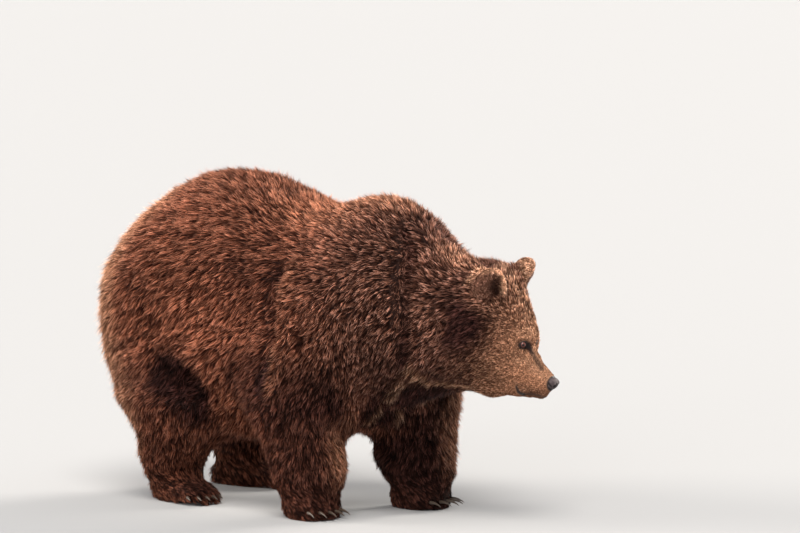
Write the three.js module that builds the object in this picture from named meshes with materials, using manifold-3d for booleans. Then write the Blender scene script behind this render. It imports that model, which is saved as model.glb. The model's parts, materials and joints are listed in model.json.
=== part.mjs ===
// A brown bear standing on its four paws with its head lowered and turned a little to its left.
// Millimetres, life size. +X is forward, +Y is the bear's left and +Z is up; the soles rest on Z = 0.
//
// The whole animal is one distance field, made of named masses of coat and flesh that melt into each
// other. Each sub-part is that field wrapped in a skin of faces and parted from its neighbours by thin
// flat cuts. Eyes and claws are solids of their own, set in sockets.
import * as THREE from "three";
import { mergeVertices } from "three/addons/utils/BufferGeometryUtils.js";
import Module from "manifold-3d";

const wasm = await Module();
wasm.setup();

const vec = (x, y, z) => new THREE.Vector3(x, y, z);
const sides = { right: -1, left: 1 };
const cutGap = 0.4; // air between two neighbouring sub-parts

// ---------------------------------------------------------------- driving sizes

const trunk = {
  rumpTop: 1012,
  rumpEnd: -648,
  barrelTop: 905,
  humpTop: 948,
  bellyBottom: 214,
  halfWidth: 326,
};

// The head's own frame starts between the ears, with +X towards the nose and the brow line level.
const head = {
  at: vec(830, 60, 640),
  yaw: 18,
  pitch: 32,
  roll: 4.5,
  crownTop: 104,
  halfWidth: 130,
  mouthLine: { corner: vec(140, 0, -155), slope: 0.3 },
  nose: { at: vec(230, 0, -103), radii: vec(22, 24, 19) },
  eye: { at: vec(111, 47, -40), radius: 12 },
  ear: { at: vec(-50, 106, 76), tall: 54, wide: 50, thick: 36 },
};

const legs = {
  fore: { elbowHeight: 330, wristHeight: 120, pawLength: 176, pawWidth: 150, clawLength: 58 },
  hind: { elbowHeight: 330, wristHeight: 112, pawLength: 262, pawWidth: 136, clawLength: 38 },
};

// Where each paw stands (the middle of its palm) and which way its toes point, in degrees.
const stance = {
  fore: {
    right: { paw: vec(272, -200, 0), toes: -8, joint: vec(215, -220, 400) },
    left: { paw: vec(342, 200, 0), toes: 12, joint: vec(285, 214, 400) },
  },
  hind: {
    right: { paw: vec(-278, -205, 0), toes: -14, joint: vec(-215, -226, 375) },
    left: { paw: vec(-402, 205, 0), toes: 12, joint: vec(-320, 218, 375) },
  },
};

// ---------------------------------------------------------------- distance fields

const degrees = THREE.MathUtils.degToRad;

// How far a point lies outside an egg with three half-axes, turned by degrees about X, Y and Z.
function egg(center, radii, turn = [0, 0, 0]) {
  const toEgg = new THREE.Matrix4()
    .compose(
      center,
      new THREE.Quaternion().setFromEuler(new THREE.Euler(...turn.map(degrees), "ZYX")),
      vec(1, 1, 1),
    )
    .invert();
  const p = vec(0, 0, 0);
  return (point) => {
    p.copy(point).applyMatrix4(toEgg);
    const k0 = Math.hypot(p.x / radii.x, p.y / radii.y, p.z / radii.z);
    const k1 = Math.hypot(p.x / radii.x ** 2, p.y / radii.y ** 2, p.z / radii.z ** 2);
    return k1 === 0 ? -Math.min(radii.x, radii.y, radii.z) : (k0 * (k0 - 1)) / k1;
  };
}

// How far a point lies outside a limb: a rounded cone from one ball to another.
function limb(from, to, fromRadius, toRadius) {
  const along = to.clone().sub(from);
  const length = along.length();
  const p = vec(0, 0, 0);
  along.normalize();
  const taper = (fromRadius - toRadius) / length;
  const lean = Math.sqrt(1 - taper * taper);
  return (point) => {
    p.copy(point).sub(from);
    const x = p.dot(along);
    const r = Math.sqrt(Math.max(0, p.lengthSq() - x * x));
    const k = lean * x - taper * r;
    if (k < 0) return Math.hypot(x, r) - fromRadius;
    if (k > lean * length) return Math.hypot(x - length, r) - toRadius;
    return r * lean + x * taper - fromRadius;
  };
}

// Two shapes melted together over a reach.
function melt(a, b, reach) {
  const h = Math.max(reach - Math.abs(a - b), 0) / reach;
  return Math.min(a, b) - (h * h * reach) / 4;
}

// One field from a list of [field, reach].
function meltAll(masses) {
  return (point) => {
    let d = masses[0][0](point);
    for (let i = 1; i < masses.length; i++) d = melt(d, masses[i][0](point), masses[i][1]);
    return d;
  };
}

// ---------------------------------------------------------------- masses of the body

const bothSides = (make) => Object.values(sides).flatMap(make);

function trunkMasses() {
  const { rumpTop, rumpEnd, barrelTop, humpTop, bellyBottom, halfWidth } = trunk;
  const rump = vec(412, halfWidth - 10, 370);
  const barrel = vec(430, halfWidth, 330);
  const belly = vec(335, halfWidth - 8, 250);
  const hump = vec(205, 150, 200);
  return [
    [egg(vec(rumpEnd + rump.x, 0, rumpTop - rump.z), rump), 0],
    [egg(vec(20, 0, barrelTop - barrel.z), barrel), 150],
    [egg(vec(-80, 0, bellyBottom + belly.z), belly), 120],
    [egg(vec(300, 0, 560), vec(255, 262, 305)), 150],
    [egg(vec(372, 0, humpTop - hump.z), hump), 130],
    [egg(vec(-455, 0, 500), vec(180, 250, 240)), 110],
    [limb(vec(rumpEnd + 22, 0, 700), vec(rumpEnd - 8, 0, 610), 46, 30), 30],
    ...bothSides((side) => [
      [egg(vec(325, side * 190, 580), vec(165, 112, 275), [side * 8, 14, 0]), 90],
      [egg(vec(-385, side * 125, 655), vec(232, 172, 225)), 90],
      [egg(vec(-356, side * 185, 505), vec(248, 138, 300)), 110],
    ]),
  ];
}

function neckMasses() {
  return [
    [limb(vec(430, 0, 655), vec(735, 38, 594), 218, 144), 130],
    [egg(vec(590, 15, 520), vec(190, 160, 150)), 110],
  ];
}

function headMasses() {
  const { crownTop, halfWidth, mouthLine } = head;
  return [
    [egg(vec(-92, 0, crownTop - 122), vec(104, 108, 122)), 60],
    [egg(vec(27, 0, -43), vec(100, 88, 63), [0, 33, 0]), 40],
    [egg(vec(-30, 0, -120), vec(130, 110, 110)), 50],
    [limb(vec(100, 0, -108), vec(204, 0, -111), 62, 36), 40],
    [limb(vec(90, 0, -160), vec(211, 0, -146), 54, 19), 18],
    [egg(vec(60, 0, -190), vec(95, 72, 62), [0, -28, 0]), 60],
    ...bothSides((side) => [
      [egg(vec(12, side * (halfWidth - 58), -104), vec(98, 58, 92), [0, 0, side * -12]), 44],
      [egg(vec(176, side * 17, mouthLine.corner.z + 34), vec(52, 25, 24)), 16],
      [egg(vec(86, side * 36, -30), vec(36, 25, 32)), 34],
    ]),
  ];
}

// An ear: a thick round plate with a hollow in its front.
function earMass(side) {
  const { at, tall, wide, thick } = head.ear;
  const turn = [side * -12, -4, side * 14];
  const center = at.clone().setY(side * at.y);
  const plate = egg(center, vec(thick, wide, tall), turn);
  const ahead = vec(thick + 2, side * 9, 5);
  const hollow = egg(center.clone().add(ahead), vec(thick - 6, wide - 15, tall - 15), turn);
  return (point) => Math.max(plate(point), -hollow(point));
}

function foreLegMasses(name) {
  const { paw, joint } = stance.fore[name];
  return [
    [limb(vec(joint.x + 110, sides[name] * 190, 590), joint, 150, 132), 70],
    [limb(joint, vec(paw.x - 8, paw.y, 150), 136, 101), 60],
    [limb(vec(paw.x - 8, paw.y, 150), vec(paw.x, paw.y, 60), 98, 74), 40],
  ];
}

function hindLegMasses(name) {
  const { paw, joint } = stance.hind[name];
  const hock = vec(paw.x - 48, paw.y, 150);
  return [
    [limb(vec(-360, sides[name] * 180, 600), joint, 190, 152), 80],
    [egg(vec(joint.x - 112, paw.y, 395), vec(176, 130, 205)), 60],
    [limb(joint, hock, 146, 90), 70],
    [limb(hock, vec(paw.x - 50, paw.y, 62), 88, 62), 40],
  ];
}

// A paw in its own frame: +X towards the toes, the ground at zero and the palm over the origin.
function pawMasses(kind) {
  const { pawLength, pawWidth } = legs[kind];
  const heel = pawLength / 2 - 25;
  return [
    [egg(vec(5, 0, 40), vec(72, pawWidth / 2 - 6, 52)), 30],
    [limb(vec(0, 0, 36), vec(-heel, 0, 30), pawWidth / 2 - 14, 46), 30],
    ...toePlaces(kind).map(({ at }) => [
      limb(at.clone().add(vec(-46, 0, 20)), at, 24, 19),
      10,
    ]),
  ];
}

// The five toes: where each one ends, and which way it points.
function toePlaces(kind) {
  const { pawLength, pawWidth } = legs[kind];
  return [-2, -1, 0, 1, 2].map((n) => ({
    at: vec(pawLength / 2 - 6 - 5.5 * n * n + (kind === "hind" ? 8 : 0), n * (pawWidth - 34) * 0.25, 19),
    turn: n * 5,
  }));
}

// ---------------------------------------------------------------- frames

const turned = (x, y, z) => new THREE.Quaternion().setFromEuler(new THREE.Euler(...[x, y, z].map(degrees), "ZYX"));
const frameAt = (at, rotation) => new THREE.Matrix4().compose(at, rotation, vec(1, 1, 1));

const headFrame = frameAt(head.at, turned(head.roll, head.pitch, head.yaw));
const pawFrame = (kind, name) => {
  const { paw, toes } = stance[kind][name];
  return frameAt(paw, turned(0, 0, toes));
};

// A field made in a turned frame, read from the bear's own frame.
function placed(field, frame) {
  const inverse = frame.clone().invert();
  const p = vec(0, 0, 0);
  return (point) => field(p.copy(point).applyMatrix4(inverse));
}

const placedAll = (masses, frame, firstReach) =>
  masses.map(([field, reach], n) => [placed(field, frame), n ? reach : firstReach]);

const legNames = ["fore", "hind"].flatMap((kind) => Object.keys(sides).map((name) => [kind, name]));

const bodyField = meltAll([
  ...trunkMasses(),
  ...neckMasses(),
  ...legNames.flatMap(([kind, name]) => [
    ...(kind === "fore" ? foreLegMasses(name) : hindLegMasses(name)),
    ...placedAll(pawMasses(kind), pawFrame(kind, name), 30),
  ]),
  ...placedAll(headMasses(), headFrame, 90),
  ...bothSides((side) => [[placed(earMass(side), headFrame), 14]]),
]);

// ---------------------------------------------------------------- from field to solid

// The four corners of each face of a cell in order round it; a corner's bits say x, y, z = 0 or 1.
const cellFaces = [1, 2, 4].flatMap((across) => {
  const [u, w] = [1, 2, 4].filter((bit) => bit !== across);
  return [0, across].map((base) => [base, base | u, base | u | w, base | w]);
});

// Groups the crossed edges of a cell into the separate sheets of surface that pass through it.
function sheetsOfCell(inside) {
  const sheetOf = new Map();
  const edgeKey = (a, b) => Math.min(a, b) * 8 + Math.max(a, b);
  const join = (a, b) => {
    const sheets = [a, b].map((edge) => sheetOf.get(edge) ?? [edge]);
    const joined = sheets[0] === sheets[1] ? sheets[0] : [...sheets[0], ...sheets[1]];
    joined.forEach((edge) => sheetOf.set(edge, joined));
  };
  for (const face of cellFaces) {
    const edges = face.map((corner, n) => edgeKey(corner, face[(n + 1) % 4]));
    const crossed = edges.filter((_, n) => inside[face[n]] !== inside[face[(n + 1) % 4]]);
    if (crossed.length === 2) join(...crossed);
    if (crossed.length === 4)
      face.forEach((corner, n) => inside[corner] && join(edges[(n + 3) % 4], edges[n]));
  }
  return [...new Set(sheetOf.values())].map((sheet) => [...new Set(sheet)]);
}

// Wraps the zero surface of a field inside a box: one point for each sheet of surface in each cell,
// moved onto the surface, and one square for each grid line that the surface crosses.
function wrap(field, box, cell) {
  const [nx, ny, nz] = box.getSize(vec(0, 0, 0)).divideScalar(cell).ceil().addScalar(1).toArray();
  const index = (i, j, k) => (k * ny + j) * nx + i;
  const place = (i, j, k) => vec(i, j, k).multiplyScalar(cell).add(box.min);
  const cornerStep = [0, 1, 2, 3, 4, 5, 6, 7].map((n) => index(n & 1, (n >> 1) & 1, n >> 2));
  const values = new Float64Array(nx * ny * nz);
  const onRim = (i, j, k) => !i || !j || !k || i === nx - 1 || j === ny - 1 || k === nz - 1;
  eachOf(nx, ny, nz, (i, j, k) => {
    values[index(i, j, k)] = onRim(i, j, k) ? cell : field(place(i, j, k));
  });

  const points = [];
  const pointAt = new Map(); // cell number and edge of the cell -> point
  eachOf(nx - 1, ny - 1, nz - 1, (i, j, k) => {
    const here = index(i, j, k);
    const v = cornerStep.map((step) => values[here + step]);
    if (v.every((d) => d < 0) || v.every((d) => d >= 0)) return;
    for (const sheet of sheetsOfCell(v.map((d) => d < 0))) {
      const middle = vec(0, 0, 0);
      for (const edge of sheet) {
        const [a, b] = [edge >> 3, edge & 7];
        const t = v[a] / (v[a] - v[b]);
        const from = vec(a & 1, (a >> 1) & 1, a >> 2);
        middle.add(from.lerp(vec(b & 1, (b >> 1) & 1, b >> 2), t));
        pointAt.set(here * 64 + edge, points.length);
      }
      middle.divideScalar(sheet.length).multiplyScalar(cell).add(place(i, j, k));
      points.push(settle(field, middle, cell));
    }
  });

  const faces = [];
  eachOf(nx - 1, ny - 1, nz - 1, (i, j, k) => {
    for (const axis of [0, 1, 2]) {
      const inside = values[index(i, j, k)] < 0;
      if (inside === values[index(i, j, k) + cornerStep[1 << axis]] < 0) continue;
      const u = 1 << (axis + 1) % 3;
      const w = 1 << (axis + 2) % 3;
      const ring = [0, u, u | w, w].map((back) => {
        const edge = back * 8 + (back | (1 << axis));
        return pointAt.get((index(i, j, k) - cornerStep[back]) * 64 + edge);
      });
      if (!inside) ring.reverse();
      const [a, b, c, d] = ring;
      const short = points[a].distanceTo(points[c]) <= points[b].distanceTo(points[d]);
      faces.push(...(short ? [a, b, c, a, c, d] : [a, b, d, b, c, d]));
    }
  });
  return new THREE.BufferGeometry().setFromPoints(points).setIndex(faces);
}

function eachOf(nx, ny, nz, visit) {
  for (let k = 0; k < nz; k++) for (let j = 0; j < ny; j++) for (let i = 0; i < nx; i++) visit(i, j, k);
}

// Moves a point along the field's slope until it lies on the surface, by no more than half a cell.
function settle(field, start, cell) {
  const step = 0.5;
  const p = start.clone();
  for (let round = 0; round < 4; round++) {
    const d = field(p);
    const slope = vec(
      field(p.clone().add(vec(step, 0, 0))) - d,
      field(p.clone().add(vec(0, step, 0))) - d,
      field(p.clone().add(vec(0, 0, step))) - d,
    ).divideScalar(step);
    if (slope.lengthSq() < 0.04) break;
    p.addScaledVector(slope, -d / slope.lengthSq());
  }
  const moved = p.sub(start);
  return start.clone().add(moved.clampLength(0, cell / 2));
}

// A three.js geometry as a manifold solid.
function solidOf(geometry, frame = new THREE.Matrix4()) {
  const g = new THREE.BufferGeometry()
    .setAttribute("position", geometry.getAttribute("position").clone())
    .setIndex(geometry.index)
    .applyMatrix4(frame);
  return new wasm.Manifold(
    new wasm.Mesh({
      numProp: 3,
      vertProperties: g.getAttribute("position").array,
      triVerts: new Uint32Array(g.index.array),
    }),
  );
}

// A manifold solid as a mesh in the group.
function meshOf(name, solid, material) {
  const made = solid.getMesh();
  const geometry = new THREE.BufferGeometry()
    .setAttribute("position", new THREE.BufferAttribute(made.vertProperties, 3))
    .setIndex(new THREE.BufferAttribute(made.triVerts, 1));
  geometry.computeVertexNormals();
  const mesh = new THREE.Mesh(geometry, material);
  mesh.name = name;
  return mesh;
}

// A half-space: what lies on the side that the normal points to, of a plane through a point.
function halfSpace(point, normal) {
  const n = normal.clone().normalize();
  return { normal: n, offset: n.dot(point) };
}

// The part of a solid that lies in all the half-spaces, less half the gap.
function keepIn(solid, halfSpaces, gap = cutGap / 2) {
  return halfSpaces.reduce(
    (kept, { normal, offset }) => kept.trimByPlane(normal.toArray(), offset + gap),
    solid,
  );
}

// The convex region of the half-spaces, grown by half the gap, for cutting it out of a neighbour.
function regionOf(halfSpaces) {
  const block = new THREE.BoxGeometry(4000, 4000, 4000);
  return keepIn(solidOf(welded(block)), halfSpaces, -cutGap / 2);
}

function welded(geometry) {
  const bare = geometry.clone();
  bare.deleteAttribute("normal");
  bare.deleteAttribute("uv");
  return mergeVertices(bare, 1e-3);
}

// ---------------------------------------------------------------- where the cuts go

const flipped = ({ normal, offset }) => ({ normal: normal.clone().negate(), offset: -offset });

// A half-space given in the head's frame.
const headPlane = (point, normal) =>
  halfSpace(point.clone().applyMatrix4(headFrame), normal.clone().transformDirection(headFrame));

const headCut = headPlane(vec(-105, 0, 0), vec(1, 0, 0.28));
const neckCut = halfSpace(vec(520, 0, 600), vec(0.92, 0, -0.35));

const jawRegion = () => {
  const { corner, slope } = head.mouthLine;
  return [headPlane(corner, vec(slope, 0, -1)), headPlane(corner, vec(1, 0, 0))];
};

const earRegion = (side) => {
  const { at, tall } = head.ear;
  const root = vec(at.x, side * (at.y - 12), at.z - tall * 0.55);
  return [
    headPlane(root, vec(0, side * 0.55, 1)),
    headPlane(vec(0, side * (at.y - 48), 0), vec(0, side, 0)),
    headCut,
  ];
};

const tailRegion = () => [
  halfSpace(vec(0, -56, 0), vec(0, 1, 0)),
  halfSpace(vec(0, 56, 0), vec(0, -1, 0)),
  halfSpace(vec(0, 0, 560), vec(0, 0, 1)),
  halfSpace(vec(0, 0, 770), vec(0, 0, -1)),
  halfSpace(vec(trunk.rumpEnd + 6, 0, 0), vec(-1, 0, 0)),
];

function legRegion(kind, name) {
  const side = sides[name];
  const ends =
    kind === "fore"
      ? [halfSpace(vec(40, 0, 0), vec(1, 0, 0))]
      : [halfSpace(vec(-50, 0, 0), vec(-1, 0, 0))];
  return [
    ...ends,
    halfSpace(vec(0, side * 44, 0), vec(0, side, 0)),
    halfSpace(vec(0, side * 90, 262), vec(0, side, -1)),
  ];
}

// ---------------------------------------------------------------- materials

const material = (color, roughness, metalness = 0) =>
  new THREE.MeshStandardMaterial({ color, roughness, metalness });
const coat = material(0x5b3322, 0.95);
const legCoat = material(0x3d2219, 0.95);
const faceCoat = material(0x7a5233, 0.9);
const noseSkin = material(0x2a2425, 0.45);
const eyeGlobe = material(0x20120c, 0.1);
const horn = material(0x3a3029, 0.4);

// ---------------------------------------------------------------- sub-parts

const bear = new THREE.Group();
bear.name = "brown_bear";

function wrapped(low, high, cell) {
  return solidOf(wrap(bodyField, new THREE.Box3(low, high), cell));
}

// A box in the head's frame, as a box in the bear's own frame.
function headBox(low, high) {
  const box = new THREE.Box3(low, high).applyMatrix4(headFrame);
  return [box.min, box.max];
}

function addTrunk() {
  let solid = wrapped(vec(-780, -460, 100), vec(760, 460, 1100), 84);
  for (const leg of legNames) solid = solid.subtract(regionOf(legRegion(...leg)));
  solid = solid.subtract(regionOf(tailRegion()));
  bear.add(meshOf("trunk", keepIn(solid, [flipped(neckCut)]), coat));
  const tail = wrapped(vec(-760, -110, 500), vec(-560, 110, 820), 34);
  bear.add(meshOf("tail", keepIn(tail, tailRegion()), coat));
}

function addNeck() {
  let solid = wrapped(vec(380, -330, 200), vec(1000, 420, 1060), 70);
  for (const name of Object.keys(sides)) solid = solid.subtract(regionOf(legRegion("fore", name)));
  bear.add(meshOf("neck", keepIn(solid, [neckCut, flipped(headCut)]), coat));
}

// A ball stretched to half-axes; grown, it cuts the socket that it sits in.
function ball(radii, around, down, grown = 0) {
  const r = radii.clone().addScalar(grown);
  return solidOf(welded(new THREE.SphereGeometry(1, around, down).scale(r.x, r.y, r.z)));
}

function at(solid, frame, x, y, z) {
  return solid.transform(frame.clone().multiply(new THREE.Matrix4().makeTranslation(x, y, z)).toArray());
}

function noseSolid(grown) {
  const { at: place, radii } = head.nose;
  let pad = at(ball(radii, 12, 7, grown), headFrame, ...place.toArray());
  if (!grown)
    for (const side of Object.values(sides)) {
      const nostril = ball(vec(11, 5.5, 6.5), 6, 4);
      pad = pad.subtract(at(nostril, headFrame, place.x + 18, side * 11, place.z + 1));
    }
  return pad;
}

function eyeSolid(side, grown) {
  const { at: place, radius } = head.eye;
  return at(ball(vec(radius, radius, radius), 10, 7, grown), headFrame, place.x, side * place.y, place.z);
}

function addHead() {
  let solid = wrapped(...headBox(vec(-190, -190, -330), vec(300, 190, 190)), 28);
  solid = solid.subtract(regionOf(jawRegion())).subtract(noseSolid(cutGap));
  for (const [name, side] of Object.entries(sides)) {
    solid = solid.subtract(regionOf(earRegion(side))).subtract(eyeSolid(side, cutGap));
    bear.add(meshOf(`eye_${name}`, eyeSolid(side, 0), eyeGlobe));
    const box = headBox(vec(-140, side > 0 ? 10 : -190, -10), vec(40, side > 0 ? 190 : -10, 170));
    bear.add(meshOf(`ear_${name}`, keepIn(wrapped(...box, 20), earRegion(side)), faceCoat));
  }
  bear.add(meshOf("head", keepIn(solid, [headCut]), faceCoat));
  bear.add(meshOf("nose", noseSolid(0), noseSkin));
  const jaw = wrapped(...headBox(vec(100, -90, -260), vec(270, 90, -80)), 21);
  bear.add(meshOf("lower_jaw", keepIn(jaw, [headCut, ...jawRegion()]).subtract(noseSolid(cutGap)), faceCoat));
}

// A claw in its own frame: rooted inside the toe at the origin, running forward and curling down.
function clawSolid(kind, grown) {
  const { clawLength } = legs[kind];
  const [rise, curl, rootRadius] = [10, 58, 6.5];
  const geometry = welded(new THREE.ConeGeometry(rootRadius + grown, clawLength + grown, 5, 3));
  const position = geometry.getAttribute("position");
  const step = clawLength / 16;
  for (let n = 0; n < position.count; n++) {
    const along = position.getY(n) + clawLength / 2;
    const spine = vec(0, 0, 0);
    for (let s = 0; s < along; s += step) {
      const lean = degrees(rise - (curl * s) / clawLength);
      const move = Math.min(step, along - s);
      spine.add(vec(Math.cos(lean) * move, 0, Math.sin(lean) * move));
    }
    const lean = degrees(rise - (curl * along) / clawLength);
    const off = position.getZ(n) * 1.15;
    position.setXYZ(n, spine.x - Math.sin(lean) * off, -position.getX(n), spine.z + Math.cos(lean) * off);
  }
  return solidOf(geometry);
}

function addLeg(kind, name) {
  const { elbowHeight, wristHeight } = legs[kind];
  const { paw } = stance[kind][name];
  const above = (z) => halfSpace(vec(0, 0, z), vec(0, 0, 1));
  const below = (z) => halfSpace(vec(0, 0, z), vec(0, 0, -1));
  const box = (low, high, reach) => [
    vec(paw.x - reach, paw.y - reach, low),
    vec(paw.x + reach, paw.y + reach, high),
  ];
  const region = legRegion(kind, name);
  const upper = keepIn(wrapped(...box(230, 800, 450), 62), [...region, above(elbowHeight)]);
  bear.add(meshOf(`${kind}leg_upper_${name}`, upper, coat));
  const between = [above(wristHeight), below(elbowHeight)];
  const lower = keepIn(wrapped(...box(50, 420, 360), 62), [...region, ...between]);
  bear.add(meshOf(`${kind}leg_lower_${name}`, lower, legCoat));

  const sole = [above(-cutGap / 2), below(wristHeight)];
  let pawSolid = keepIn(wrapped(...box(-60, 160, 220), 31), [...region, ...sole]);
  toePlaces(kind).forEach(({ at: tip, turn }, n) => {
    const root = tip.clone().add(vec(2, 0, 7));
    const frame = pawFrame(kind, name).multiply(frameAt(root, turned(0, 0, turn)));
    pawSolid = pawSolid.subtract(at(clawSolid(kind, cutGap), frame, -cutGap, 0, 0));
    bear.add(meshOf(`claw_${kind}_${name}_${n + 1}`, at(clawSolid(kind, 0), frame, 0, 0, 0), horn));
  });
  bear.add(meshOf(`${kind}paw_${name}`, pawSolid, legCoat));
}

addTrunk();
addNeck();
addHead();
for (const leg of legNames) addLeg(...leg);

// The model's own origin: the middle of its footprint box, on the ground.
const footprint = new THREE.Box3().setFromObject(bear);
const middle = footprint.getCenter(vec(0, 0, 0));
bear.position.set(-middle.x, -middle.y, -footprint.min.z);

export default bear;
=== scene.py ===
import json
import math
import bpy
import numpy as np
from mathutils import Euler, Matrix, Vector
from mathutils.bvhtree import BVHTree
from mathutils.kdtree import KDTree

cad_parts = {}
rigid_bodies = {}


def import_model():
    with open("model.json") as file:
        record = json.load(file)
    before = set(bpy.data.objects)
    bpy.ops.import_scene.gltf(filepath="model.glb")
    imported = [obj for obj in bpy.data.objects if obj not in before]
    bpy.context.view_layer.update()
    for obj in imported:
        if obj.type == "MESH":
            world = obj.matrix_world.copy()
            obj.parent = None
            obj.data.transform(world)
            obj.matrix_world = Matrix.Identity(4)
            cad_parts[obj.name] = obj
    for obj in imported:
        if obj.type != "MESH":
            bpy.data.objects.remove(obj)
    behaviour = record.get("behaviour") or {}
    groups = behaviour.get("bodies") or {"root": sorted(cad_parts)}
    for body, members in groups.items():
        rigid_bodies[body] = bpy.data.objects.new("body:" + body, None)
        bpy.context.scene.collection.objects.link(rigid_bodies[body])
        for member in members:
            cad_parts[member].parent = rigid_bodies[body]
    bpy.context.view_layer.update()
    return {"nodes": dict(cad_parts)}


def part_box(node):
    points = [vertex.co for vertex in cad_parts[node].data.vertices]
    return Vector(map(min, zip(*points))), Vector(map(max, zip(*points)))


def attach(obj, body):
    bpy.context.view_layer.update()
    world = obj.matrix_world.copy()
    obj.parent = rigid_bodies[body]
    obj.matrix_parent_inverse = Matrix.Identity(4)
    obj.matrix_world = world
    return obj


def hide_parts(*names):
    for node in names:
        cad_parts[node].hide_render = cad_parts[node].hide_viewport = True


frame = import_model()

# Brown bear, life size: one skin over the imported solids, a coat of joined locks, eyes, nose and claws.
# Metres throughout, +X forward, +Y the bear's left, floor at zero.

cadNodes = frame["nodes"]
mm = 0.001
sides = {"right": -1, "left": 1}
bothSides = (-1, 1)
kinds = ("fore", "hind")


# Small helpers
def deselectAll():
    for obj in bpy.context.scene.objects:
        obj.select_set(False)


def active():
    return bpy.context.view_layer.objects.active


def pick(*objs):
    deselectAll()
    for obj in objs:
        obj.select_set(True)
    bpy.context.view_layer.objects.active = objs[0]


def newObject(name, data):
    obj = bpy.data.objects.new(name, data)
    bpy.context.scene.collection.objects.link(obj)
    return obj


def editAll(operator, **values):  # runs an edit operator on all of the active mesh
    bpy.ops.object.mode_set(mode="EDIT")
    bpy.ops.mesh.select_all(action="SELECT")
    operator(**values)
    bpy.ops.object.mode_set(mode="OBJECT")


def shadeSmooth(obj):
    pick(obj)
    bpy.ops.object.shade_smooth()


def apply(obj, kind, **values):
    pick(obj)
    modifier = obj.modifiers.new("step", kind)
    for name, value in values.items():
        setattr(modifier, name, value)
    bpy.ops.object.modifier_apply(modifier=modifier.name)


def readRows(items, name, width=3, kind=np.float32):
    values = np.empty(len(items) * width, kind)
    items.foreach_get(name, values)
    return values.reshape(-1, width)


def points(obj):
    return readRows(obj.data.vertices, "co").astype(float)


def movePoints(obj, co):
    obj.data.vertices.foreach_set("co", co.astype(np.float32).ravel())
    obj.data.update()


def pointNormals(obj):
    return readRows(obj.data.vertex_normals, "vector").astype(float)


def faceMiddles(obj):
    return readRows(obj.data.polygons, "center").astype(float)


def edgePairs(obj):
    return readRows(obj.data.edges, "vertices", 2, np.int32)


def editFaces(obj, chosen, operator, **values):  # runs an edit operator on the chosen faces
    pick(obj)
    bpy.context.tool_settings.mesh_select_mode = (False, False, True)
    for items in (obj.data.vertices, obj.data.edges):
        items.foreach_set("select", np.zeros(len(items), bool))
    obj.data.polygons.foreach_set("select", chosen)
    bpy.ops.object.mode_set(mode="EDIT")
    operator(**values)
    bpy.ops.object.mode_set(mode="OBJECT")


def setMask(mesh, name, values):
    mask = mesh.attributes.new(name, "FLOAT", "POINT")
    mask.data.foreach_set("value", values.astype(np.float32))


def ramp(x, start, end):  # 0 at start, 1 at end, smooth between, and start may be the larger
    t = np.clip((x - start) / (end - start), 0, 1)
    return t * t * (3 - 2 * t)


def unit(v):
    return v / np.maximum(np.linalg.norm(v, axis=-1, keepdims=True), 1e-9)


def dome(near):  # 1 in the middle, 0 at a distance of 1 and beyond
    return np.clip(1 - near ** 2, 0, None) ** 2


def distance(p, place, size=1.0):  # from each point to a place, in lengths of size
    return np.linalg.norm((p - np.asarray(place)) / size, axis=1)


def onSide(place, side):  # what is given for the left, on the side that is asked for
    return np.array(place) * (1, side, 1)


def raiseTo(mask, values):  # in place
    np.maximum(mask, values, out=mask)


def spread(values, pairs, rounds):  # evens out values over the mesh
    count = np.bincount(pairs.ravel(), minlength=len(values))[:, None]
    for _ in range(rounds):
        near = np.zeros_like(values)
        for c in range(values.shape[1]):
            near[:, c] = np.bincount(pairs[:, 0], values[pairs[:, 1], c], len(values))
            near[:, c] += np.bincount(pairs[:, 1], values[pairs[:, 0], c], len(values))
        values = (values + near / np.maximum(count, 1)) / 2
    return values


def waves(p, size, seed, octaves=2):  # smooth noise between about -1 and 1
    draw = np.random.default_rng(seed)
    total = np.zeros(len(p))
    for octave in range(octaves):
        for _ in range(7):
            way = draw.normal(size=3)
            way *= 2 * math.pi / size * (1.9 ** octave) * draw.uniform(0.7, 1.3) / np.linalg.norm(way)
            total += np.sin(p @ way + draw.uniform(0, 6.28)) * 0.6 ** octave
    return total / 3.2


# The head's own frame: +X to the nose, brow line level, placed by the two eyes
head = {
    "yaw": 18,
    "pitch": 32,
    "roll": 4.5,
    "eye": (111 * mm, 47 * mm, -40 * mm),
    "eyeRadius": 12 * mm,
    "nose": (230 * mm, 0, -103 * mm),
    "earRoot": (-50 * mm, 82 * mm, 40 * mm),
    "earHollow": (-29 * mm, 93 * mm, 67 * mm),
    "sideWays": ((0.756, -0.49, 0.435), (-0.561, -0.142, 0.815), (0.337, 0.86, 0.382)),  # across, up, out
    # lines across and up from the eye, in mm
    "streak": [(19, -4), (23, -14), (28, -25), (34, -36), (41.5, -48), (49, -58.5), (55, -70)],
    "lips": [(4, -144), (20, -143), (34, -144), (49, -148), (64, -153)],
    "curl": [(-17, -111), (-18, -121), (-13, -136), (-4, -142), (4, -144)],
    "upperLip": [(-17, -111), (0, -116), (16, -124), (25, -137)],
    "mouthCorner": (-3, -130),
    "earEdge": [
        (-66, 156), (-61, 179), (-62, 199), (-70, 214), (-86, 218), (-98, 219), (-118, 213), (-136, 209),
        (-150, 190),
    ],
    "furrow": [(-70, 0, 84), (9, 0, 56), (63, 0, 22), (104, 0, -16)],  # in the head's frame
}
headTurn = np.array(
    Euler([math.radians(head[a]) for a in ("roll", "pitch", "yaw")], "XYZ").to_matrix()
)


def boxMiddle(node):
    low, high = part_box(node)
    return np.array((low + high) / 2)


headOrigin = (boxMiddle("eye_right") + boxMiddle("eye_left")) / 2
headOrigin = headOrigin - headTurn @ np.array((head["eye"][0], 0, head["eye"][2]))


def toHead(p):
    return (p - headOrigin) @ headTurn


def fromHead(p):
    return np.asarray(p) @ headTurn.T + headOrigin


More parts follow.
